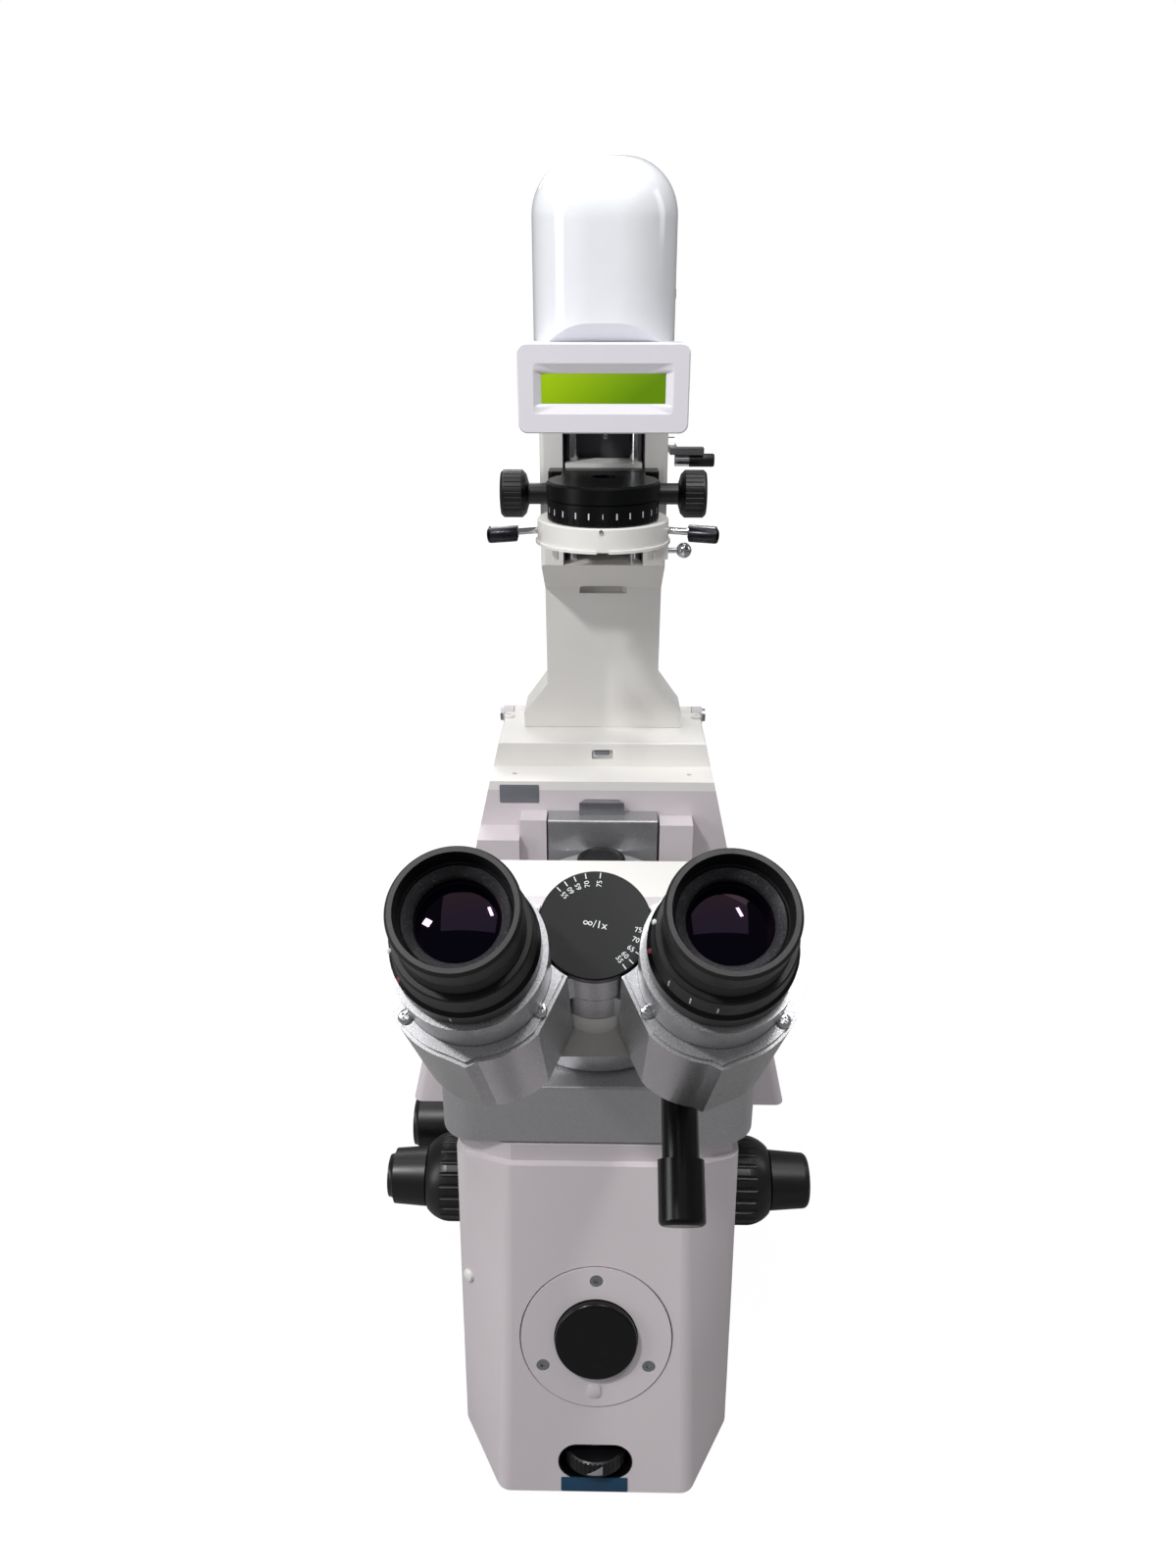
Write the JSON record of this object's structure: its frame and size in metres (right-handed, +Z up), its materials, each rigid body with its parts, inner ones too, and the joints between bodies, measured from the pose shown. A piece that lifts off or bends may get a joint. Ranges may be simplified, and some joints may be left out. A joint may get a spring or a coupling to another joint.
{
  "type": "inverted microscope",
  "caption": "Inverted microscope: wedge-shaped stand, folding binocular tube, nosepiece turret below the stage opening and a tilting light carrier with condenser above it.",
  "frame": {"origin": "on the table, under the middle of the instrument's outline", "axes": "+Z up, +Y from the user's side towards the back, +X to the user's right"},
  "size_m": [0.2746, 0.8045, 0.7],
  "materials": {
    "body_paint": "warm off-white fine-textured enamel",
    "head_paint": "glossy white enamel",
    "silver_paint": "silver metallic enamel",
    "black_paint": "satin black enamel on metal",
    "black_plastic": "black moulded plastic",
    "black_gloss": "glossy black moulded plastic",
    "grip_rubber": "soft black rubber",
    "bright_chrome": "polished chrome plate",
    "steel": "turned steel",
    "brass_bush": "plain bearing bronze",
    "optic_glass": "coated optical glass",
    "front_mirror": "front-silvered mirror block",
    "lcd": "lime-green liquid-crystal window",
    "white_plastic": "white moulded plastic",
    "scale_white": "white enamel with printed marks"
  },
  "bodies": {
    "stand": {"stand_casting": "body_paint", "base_plate": "steel", "rubber_feet": "grip_rubber", "head_block": "body_paint", "front_stage_support": "body_paint", "rear_stage_support": "body_paint", "rear_deck_cover": "body_paint", "front_port_cover": "black_paint", "front_port_screws": "steel", "front_port_cap": "black_plastic", "side_port_cover": "black_plastic", "power_inlet_panel": "black_plastic", "light_path_mirror": "front_mirror", "tube_lens": "optic_glass", "focus_shaft_bushes": "brass_bush", "nosepiece_rail": "steel", "carrier_hinge_pin": "steel", "tube_neck": "body_paint", "tube_mount_ring": "silver_paint"},
    "power_switch": {"power_rocker": "black_gloss"},
    "dimmer": {"brightness_wheel": "black_plastic"},
    "coarse_drive": {"coarse_focus_shaft": "steel", "coarse_focus_knobs": "black_plastic"},
    "fine_drive": {"fine_focus_shaft": "steel", "fine_focus_knobs": "black_plastic"},
    "port_selector": {"port_selector_knob": "black_plastic"},
    "nosepiece": {"nosepiece_carriage": "silver_paint"},
    "turret": {"nosepiece_turret": "black_paint", "objective_dust_caps": "black_plastic"},
    "left_arm": {"left_prism_housing": "silver_paint", "left_housing_cover": "silver_paint", "left_eyepiece": "black_paint", "scale_disc": "scale_white"},
    "right_arm": {"right_prism_housing": "silver_paint", "right_housing_cover": "silver_paint", "right_eyepiece": "black_paint"},
    "left_diopter": {"left_diopter_ring": "grip_rubber"},
    "right_diopter": {"right_diopter_ring": "grip_rubber"},
    "tube_selector": {"tube_selector_rod": "black_plastic"},
    "carrier": {"carrier_column": "body_paint", "condenser_guide_rods": "bright_chrome", "nose_cover": "head_paint", "head_arm": "body_paint", "head_mirror": "front_mirror", "display_housing": "white_plastic", "display_window": "lcd", "lamp_housing": "black_paint", "halogen_lamp": "optic_glass"},
    "condenser": {"condenser_carriage": "body_paint", "condenser_lens": "optic_glass", "condenser_drive_block": "black_paint", "condenser_turret_cover": "black_paint"},
    "condenser_drive": {"condenser_drive_shaft": "bright_chrome", "condenser_height_knobs": "black_plastic"},
    "condenser_disc": {"condenser_turret": "black_paint"},
    "left_centring": {"left_centring_screw": "bright_chrome"},
    "right_centring": {"right_centring_screw": "bright_chrome"},
    "lens_clamp": {"lens_clamp_screw": "bright_chrome"},
    "swing_lever": {"filter_lever": "bright_chrome"}
  },
  "joints": [
    {"name": "carrier_tilt", "type": "hinge", "parent": "stand", "child": "carrier", "pos_m": [0, 0.3245, 0.262], "axis": [1, 0, 0], "range_deg": [-40, 0]},
    {"name": "condenser_slide", "type": "slide", "parent": "carrier", "child": "condenser", "axis": [0, 0, 1], "range_m": [-0.015, 0.03]},
    {"name": "condenser_drive_turn", "type": "hinge", "parent": "condenser", "child": "condenser_drive", "pos_m": [0, 0.1985, 0.484], "axis": [1, 0, 0], "range_deg": [-218, 110]},
    {"name": "condenser_turret_turn", "type": "hinge", "parent": "condenser", "child": "condenser_disc", "pos_m": [0, 0.1435, 0.483], "axis": [0, 0, 1], "continuous": true},
    {"name": "left_centring_turn", "type": "hinge", "parent": "condenser", "child": "left_centring", "pos_m": [-0.05638, 0.13898, 0.467], "axis": [-0.9397, -0.342, 0], "range_deg": [-360, 360]},
    {"name": "right_centring_turn", "type": "hinge", "parent": "condenser", "child": "right_centring", "pos_m": [0.05638, 0.13898, 0.467], "axis": [0.9397, -0.342, 0], "range_deg": [-360, 360]},
    {"name": "lens_clamp_turn", "type": "hinge", "parent": "condenser", "child": "lens_clamp", "pos_m": [0.05, 0.1415, 0.453], "axis": [1, 0, 0], "range_deg": [-360, 360]},
    {"name": "filter_lever_swing", "type": "hinge", "parent": "carrier", "child": "swing_lever", "pos_m": [0.045, 0.2695, 0.512], "axis": [1, 0, 0], "range_deg": [-25, 10]},
    {"name": "nosepiece_slide", "type": "slide", "parent": "stand", "child": "nosepiece", "axis": [0, 0, 1], "range_m": [-0.007, 0.005]},
    {"name": "coarse_focus_turn", "type": "hinge", "parent": "stand", "child": "coarse_drive", "pos_m": [0, -0.0855, 0.085], "axis": [1, 0, 0], "range_deg": [-900.5, 1260.5]},
    {"name": "fine_focus_turn", "type": "hinge", "parent": "stand", "child": "fine_drive", "pos_m": [0, -0.0855, 0.085], "axis": [1, 0, 0], "continuous": true},
    {"name": "turret_turn", "type": "hinge", "parent": "nosepiece", "child": "turret", "pos_m": [0, 0.11797, 0.17887], "axis": [0, -0.2588, 0.9659], "continuous": true},
    {"name": "port_selector_turn", "type": "hinge", "parent": "stand", "child": "port_selector", "pos_m": [-0.1, -0.0285, 0.082], "axis": [1, 0, 0], "range_deg": [0, 90]},
    {"name": "tube_selector_pull", "type": "slide", "parent": "stand", "child": "tube_selector", "axis": [0, -0.766, -0.6428], "range_m": [0, 0.012]},
    {"name": "brightness_turn", "type": "hinge", "parent": "stand", "child": "dimmer", "pos_m": [0, -0.22594, 0.01937], "axis": [0, 0.2631, 0.9648], "range_deg": [0, 300]},
    {"name": "power_rocker_throw", "type": "hinge", "parent": "stand", "child": "power_switch", "pos_m": [0.006, 0.3275, 0.05], "axis": [1, 0, 0], "range_deg": [0, 9]},
    {"name": "left_arm_fold", "type": "hinge", "parent": "stand", "child": "left_arm", "pos_m": [0, -0.3407, 0.4309], "axis": [0, -0.6428, 0.766], "range_deg": [0, 25.04]},
    {"name": "right_arm_fold", "type": "hinge", "parent": "stand", "child": "right_arm", "pos_m": [0, -0.3407, 0.4309], "axis": [0, -0.6428, 0.766], "range_deg": [-25.04, 0]},
    {"name": "left_diopter_turn", "type": "hinge", "parent": "left_arm", "child": "left_diopter", "pos_m": [-0.0375, -0.37363, 0.44635], "axis": [0, -0.6428, 0.766], "range_deg": [-150, 150]},
    {"name": "right_diopter_turn", "type": "hinge", "parent": "right_arm", "child": "right_diopter", "pos_m": [0.0375, -0.37363, 0.44635], "axis": [0, -0.6428, 0.766], "range_deg": [-150, 150]}
  ],
  "couplings": [
    {"joint": "condenser_drive_turn", "follows": "condenser_slide", "rad_per_m": -125},
    {"joint": "coarse_focus_turn", "follows": "nosepiece_slide", "rad_per_m": -3141.6},
    {"joint": "right_arm_fold", "follows": "left_arm_fold", "ratio": -1}
  ]
}
